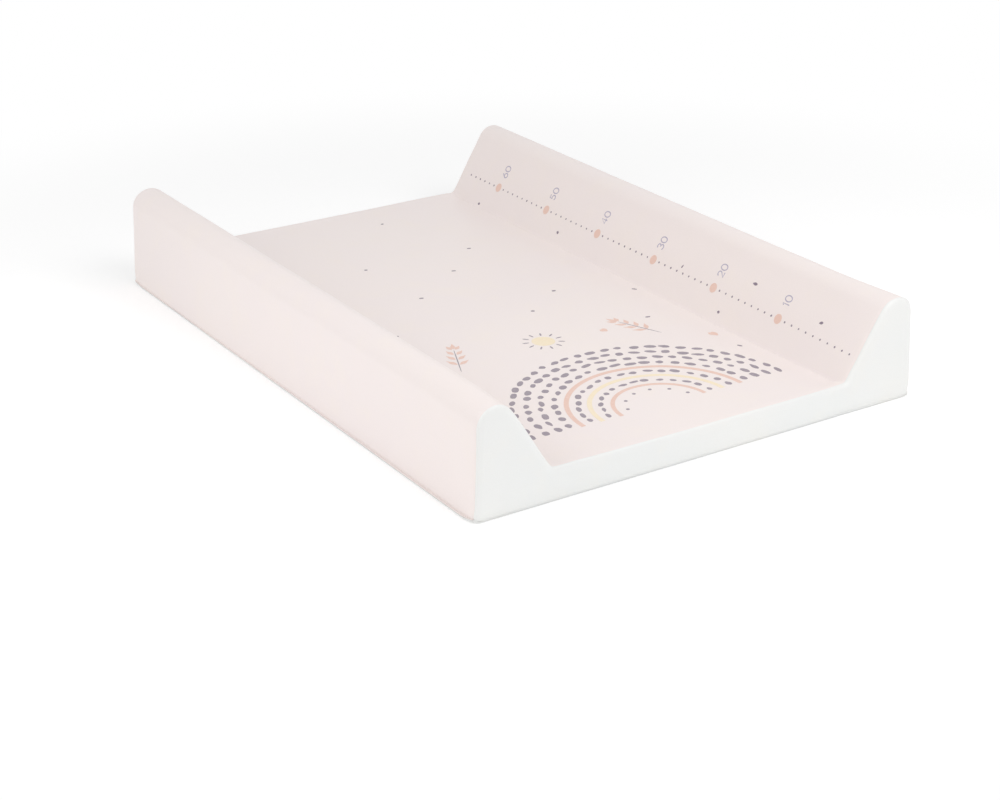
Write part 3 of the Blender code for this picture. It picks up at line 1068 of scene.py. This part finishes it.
def puffUp(cage):
    # air pressure under the film, against the foam that holds it; returns how each place moves
    rest = [vert.co.copy() for vert in cage.data.vertices]
    held = cage.vertex_groups.new(name="held")
    for index, place in enumerate(rest):
        held.add([index], heldShare(place), "REPLACE")
    cloth = addModifier(cage, "CLOTH")
    for key, value in puffCloth.items():
        setattr(cloth.settings, key, value)
    cloth.settings.vertex_group_mass = held.name
    cloth.settings.effector_weights.gravity = 0
    cloth.point_cache.frame_start = 1
    cloth.point_cache.frame_end = puff["frames"]
    for step in range(1, puff["frames"] + 1):
        bpy.context.scene.frame_set(step)
    applyModifiers(cage)
    bpy.context.scene.frame_set(1)
    moves = [vert.co - place for vert, place in zip(cage.data.vertices, rest)]
    print("film moved by up to", round(1000 * max(move.length for move in moves), 2), "mm before the cap")
    moves = [move * min(1, puff["cap"] / max(move.length, tiny)) for move in moves]
    for vert, place in zip(cage.data.vertices, rest):
        vert.co = place
    faces = [tuple(face.vertices) for face in cage.data.polygons]
    tree = BVHTree.FromPolygons(rest, faces)

    def carried(p):
        spot, _, face, distance = tree.find_nearest(p)
        weights = [1 / max((rest[corner] - spot).length, tiny) for corner in faces[face]]
        move = sum((moves[corner] * weight for corner, weight in zip(faces[face], weights)), Vector())
        return move / sum(weights) * (1 - rise(distance, 0.008, 0.025)) * rise(p.z, 0.002, 0.02)
    return carried


carried = None
cage = drawCage()
print("cage of", len(cage.data.vertices), "vertices")
carried = puffUp(cage)
bpy.data.objects.remove(cage)
settle(skins + foams + list(prints.values()), carried)
print("film and foam settled")


# Thickness, vent holes and edges
def thicken(obj, thickness):
    addModifier(obj, "SOLIDIFY", thickness=thickness, offset=-1, use_even_offset=True)
    applyModifiers(obj)


def boreVents(piece, radius, low, high):
    for side in (-1, 1):
        nothingSelected()
        bpy.ops.mesh.primitive_cylinder_add(vertices=32, radius=radius, depth=high - low,
                                            location=(side * ventPlace.x, (low + high) / 2, ventPlace.z),
                                            rotation=(math.pi / 2, 0, 0))
        tool = bpy.context.object
        addModifier(piece, "BOOLEAN", object=tool, operation="DIFFERENCE", solver="EXACT")
        applyModifiers(piece)
        bpy.data.objects.remove(tool)


for piece in (cover, frontPanel, rearPanel):
    thicken(piece, skin["film"])
thicken(backing, skin["baseFilm"])
for name in ("mauve", "plum", "peach", "yellow"):
    thicken(prints[name], ink["thick"])
washerLow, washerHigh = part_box("right_vent_washer")
washerRadius = (washerHigh.x - washerLow.x) / 2
washerRim = 0.0023                          # how far the washer reaches past the hole in the film
boreEnd = halfLength + 0.01
boreVents(rearPanel, washerRadius - washerRim, halfLength - 0.01, boreEnd)
for wedge in (leftWedge, rightWedge):
    boreVents(wedge, washerRadius + skin["gap"], ventLow.y - skin["gap"], boreEnd)
for piece in skins + foams + list(prints.values()):
    smoothShade(piece)
print("films thickened, vents bored")


# Materials
class Wire:
    # a value in a material; sums on it add Math nodes
    def __init__(self, paint, socket):
        self.paint = paint
        self.socket = socket

    def maths(self, operation, first, second):
        return self.paint.node("ShaderNodeMath", {"operation": operation}, {0: first, 1: second})

    def __add__(self, other):
        return self.maths("ADD", self, other)

    def __radd__(self, other):
        return self.maths("ADD", other, self)

    def __sub__(self, other):
        return self.maths("SUBTRACT", self, other)

    def __rsub__(self, other):
        return self.maths("SUBTRACT", other, self)

    def __mul__(self, other):
        return self.maths("MULTIPLY", self, other)

    def most(self, other):
        return self.maths("MAXIMUM", self, other)

    def ramp(self, low, high, start=0, end=1):
        # start below low, end above high, smooth between
        return self.paint.node("ShaderNodeMapRange", {"interpolation_type": "SMOOTHSTEP"},
                               {0: self, 1: low, 2: high, 3: start, 4: end})


class Paint:
    # one material, or the world, and the nodes that feed it
    def __init__(self, owner, shader="Principled BSDF", **constants):
        owner.use_nodes = True
        self.owner = owner
        self.tree = owner.node_tree
        self.shader = self.tree.nodes[shader]
        for socket, value in constants.items():
            self.shader.inputs[socket.replace("_", " ")].default_value = value
        self.place = self.node("ShaderNodeTexCoord", out="Object")

    def connect(self, target, value):
        if isinstance(value, Wire):
            self.tree.links.new(value.socket, target)
        else:
            target.default_value = value

    def node(self, kind, settings=None, values=None, out=0):
        # its settings are set first, then the numbers or links of its sockets
        made = self.tree.nodes.new(kind)
        for key, value in (settings or {}).items():
            setattr(made, key, value)
        for socket, value in (values or {}).items():
            self.connect(made.inputs[socket], value)
        return Wire(self, made.outputs[out])

    def noise(self, scale, detail=2, roughness=0.5):
        return self.node("ShaderNodeTexNoise", {}, {"Vector": self.place, "Scale": scale,
                                                    "Detail": detail, "Roughness": roughness}, "Fac")

    def cells(self, scale, smoothness=0.4):
        return self.node("ShaderNodeTexVoronoi", {"feature": "SMOOTH_F1"},
                         {"Vector": self.place, "Scale": scale, "Smoothness": smoothness}, "Distance")

    def blend(self, share, first, second):
        return self.node("ShaderNodeMix", {"data_type": "RGBA"}, {0: share, 6: first, 7: second}, 2)

    def relief(self, height, depth, strength=1):
        return self.node("ShaderNodeBump", {}, {"Strength": strength, "Distance": depth, "Height": height})

    def finish(self, colour, roughness, normal):
        self.connect(self.shader.inputs["Base Color"], colour)
        self.connect(self.shader.inputs["Roughness"], roughness)
        self.connect(self.shader.inputs["Normal"], normal)
        return self.owner

    def show(self, share, first, second):
        # what the surface or the world shows: a mix of two shaders
        mixed = self.node("ShaderNodeMixShader", {}, {0: share, 1: first, 2: second})
        for end in self.tree.nodes:
            if end.bl_idname in ("ShaderNodeOutputMaterial", "ShaderNodeOutputWorld"):
                self.connect(end.inputs["Surface"], mixed)


def newPaint(name, **constants):
    return Paint(bpy.data.materials.new(name), **constants)


def linear(red, green, blue):
    # a colour as it is seen on screen, 0 to 255, for the shader
    def one(value):
        value /= 255
        return value / 12.92 if value <= 0.04045 else ((value + 0.055) / 1.055) ** 2.4
    return (one(red), one(green), one(blue), 1)


films = {
    "printedFilm": {
        "body": (241, 231, 228),
        "warm": (242, 232, 226),
        "cool": (240, 230, 228),
        "gloss": 0.40,
        "grain": 1.0,
    },
    "whiteFilm": {
        "body": (236, 236, 234),
        "warm": (237, 236, 232),
        "cool": (234, 235, 234),
        "gloss": 0.38,
        "grain": 1.0,
    },
    "backingFilm": {
        "body": (233, 233, 230),
        "warm": (235, 233, 228),
        "cool": (229, 230, 230),
        "gloss": 0.55,
        "grain": 1.6,
    },
}
inks = {
    "mauve": {"body": (150, 140, 150), "worn": (166, 156, 164), "gloss": 0.44},
    "plum": {"body": (135, 122, 135), "worn": (150, 137, 149), "gloss": 0.44},
    "peach": {"body": (230, 196, 182), "worn": (236, 206, 194), "gloss": 0.43},
    "yellow": {"body": (242, 226, 196), "worn": (245, 232, 208), "gloss": 0.43},
    "lilac": {"body": (177, 170, 189), "worn": (188, 182, 198), "gloss": 0.44},
}


def filmGrain(paint, strength):
    # pebbled embossing of the film, with a softer ripple under it
    pebble = paint.cells(780)
    fine = paint.noise(2400, 3, 0.6)
    ripple = paint.noise(60, 3)
    return (pebble * 0.7 + fine * 0.3) * strength + ripple * 0.8


def filmFinish(name, look):
    paint = newPaint(name, Specular_IOR_Level=0.5, IOR=1.5)
    drift = paint.noise(5.5, 2)
    patch = paint.noise(26, 4, 0.6)
    pores = paint.cells(780).ramp(0.10, 0.55)
    colour = paint.blend(drift.ramp(0.38, 0.62), linear(*look["cool"]), linear(*look["body"]))
    colour = paint.blend(patch.ramp(0.45, 0.75, 0, 0.6), colour, linear(*look["warm"]))
    # painted shade: the film's colour is darkened in the pores of its grain, where the bump has its hollows
    paintedPoreShade = [value * 0.965 for value in linear(*look["body"])[:3]] + [1]
    colour = paint.blend((1 - pores) * 0.5, colour, paintedPoreShade)
    roughness = look["gloss"] + (patch - 0.5) * 0.10 + (1 - pores) * 0.05
    return paint.finish(colour, roughness, paint.relief(filmGrain(paint, look["grain"]), 0.00005, 0.35))


def inkFinish(name, look):
    paint = newPaint(name, Specular_IOR_Level=0.5, IOR=1.5)
    mottle = paint.noise(420, 4, 0.65)
    drift = paint.noise(40, 2)
    colour = paint.blend(mottle.ramp(0.46, 0.70, 0, 0.7) + drift.ramp(0.4, 0.7, 0, 0.25),
                         linear(*look["body"]), linear(*look["worn"]))
    roughness = look["gloss"] + (mottle - 0.5) * 0.12
    return paint.finish(colour, roughness, paint.relief(filmGrain(paint, 1), 0.00005, 0.35))


def foamFinish():
    paint = newPaint("openCellFoam", Specular_IOR_Level=0.2)
    cells = paint.cells(620, 0.2)
    large = paint.cells(210, 0.3)
    body = paint.blend(large.ramp(0.1, 0.6), linear(226, 218, 196), linear(238, 231, 212))
    # painted shade: the foam's colour is darkened in the hollows of its cells, where the bump goes down
    colour = paint.blend(cells.ramp(0.35, 0.05, 0, 0.6), body, linear(196, 184, 156))
    roughness = 0.92 + (cells - 0.3) * 0.1
    return paint.finish(colour, roughness, paint.relief(cells * 0.7 + large * 0.5, 0.0006, 0.7))


def ventFinish():
    paint = newPaint("ventPlastic", Specular_IOR_Level=0.5)
    mould = paint.noise(900, 3, 0.6)
    flow = paint.noise(160, 2)
    colour = paint.blend(flow.ramp(0.35, 0.7), linear(236, 236, 233), linear(228, 228, 226))
    return paint.finish(colour, 0.30 + (mould - 0.5) * 0.16, paint.relief(mould, 0.00004, 0.4))


finishes = {name: filmFinish(name, look) for name, look in films.items()}
inkFinishes = {name: inkFinish(name + "Ink", look) for name, look in inks.items()}
foamMaterial = foamFinish()
ventMaterial = ventFinish()

dress(cover, finishes["printedFilm"])
dress(frontPanel, finishes["whiteFilm"])
dress(rearPanel, finishes["whiteFilm"])
dress(backing, finishes["backingFilm"])
for foam in foams:
    dress(foam, foamMaterial)
for name, piece in prints.items():
    dress(piece, inkFinishes[name])
for name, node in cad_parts.items():
    if "vent" in name:
        dress(node, ventMaterial)
print("materials painted")


# What each piece stands for
def declare(piece, node=None):
    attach(piece, "root")
    if node:
        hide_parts(node)


declare(cover, "printed_top_cover")
declare(frontPanel, "front_end_panel")
declare(rearPanel, "rear_end_panel")
declare(backing, "base_sheet")
declare(foamSlab, "foam_base_slab")
declare(leftWedge, "left_foam_wedge")
declare(rightWedge, "right_foam_wedge")
for piece in prints.values():
    declare(piece)
print("pieces declared")


# Studio: pale floor, soft sky, a large lamp at the foot end and a smaller one on the left
studio = {
    "sky": 0.67,
    "lamps": {                              # place, aim, size and power
        "softLamp": ((0.3, -0.95, 1.15), (0.05, -0.15, 0.03), 1.1, 7.0),
        "leftLamp": ((-1.0, -0.1, 0.7), (-0.1, 0, 0.05), 0.6, 2.45),
    },
    "floor": 0.90,
    "floorBounce": 0.17,                    # what the pale ground gives back on its own
    "floorGlow": 0.03,                      # and what the camera sees more
    "floorWhite": (0.5, 1.0),               # the floor turns into the white background between these
}


def seenRays(paint):
    # camera, glossy and transmitted rays all see the white background
    seen = paint.node("ShaderNodeLightPath", out="Is Camera Ray")
    for ray in ("Is Glossy Ray", "Is Transmission Ray"):
        seen = seen.most(paint.node("ShaderNodeLightPath", out=ray))
    return seen


def addLamps():
    for name, (place, aim, size, power) in studio["lamps"].items():
        turn = (Vector(place) - Vector(aim)).to_track_quat("Z", "Y").to_euler()
        bpy.ops.object.light_add(type="AREA", location=place, rotation=turn)
        lamp = bpy.context.object
        lamp.name = name
        lamp.visible_camera = False
        lamp.data.shape = "SQUARE"
        lamp.data.size = size
        lamp.data.energy = power


def addFloor():
    nothingSelected()
    bpy.ops.mesh.primitive_grid_add(x_subdivisions=8, y_subdivisions=8, size=14, location=(0, 0, -0.0003))
    floor = bpy.context.object
    floor.name = "floor"
    paint = newPaint("paleFloor", Roughness=0.9, Specular_IOR_Level=0.1)
    tone = studio["floor"]
    lighter = tone * 1.006
    colour = paint.blend(paint.noise(3, 3), (tone, tone, tone, 1), (lighter, lighter, lighter, 1))
    paint.finish(colour, 0.9, paint.relief(paint.noise(400), 0.0001, 0.05))
    bounce = paint.node("ShaderNodeEmission", {}, {"Strength": studio["floorBounce"]})
    body = paint.node("ShaderNodeAddShader", {}, {0: Wire(paint, paint.shader.outputs[0]), 1: bounce})
    glow = paint.node("ShaderNodeEmission", {}, {"Strength": studio["floorGlow"]})
    lit = paint.node("ShaderNodeAddShader", {}, {0: body, 1: glow})
    white = paint.node("ShaderNodeEmission", {}, {"Strength": 1})
    far = paint.node("ShaderNodeVectorMath", {"operation": "LENGTH"}, {0: paint.place}, "Value")
    seen = paint.node("ShaderNodeMixShader", {}, {0: far.ramp(*studio["floorWhite"]), 1: lit, 2: white})
    paint.show(seenRays(paint), body, seen)
    dress(floor, paint.owner)


def addSky():
    sky = Paint(bpy.data.worlds.new("studio"), "Background", Color=(1, 1, 1, 1), Strength=studio["sky"])
    white = sky.node("ShaderNodeBackground", {}, {"Color": (1, 1, 1, 1), "Strength": 1})
    sky.show(seenRays(sky), Wire(sky, sky.shader.outputs[0]), white)
    bpy.context.scene.world = sky.owner


addSky()
addLamps()
addFloor()
bpy.context.scene.view_settings.view_transform = "Standard"
print("studio set")
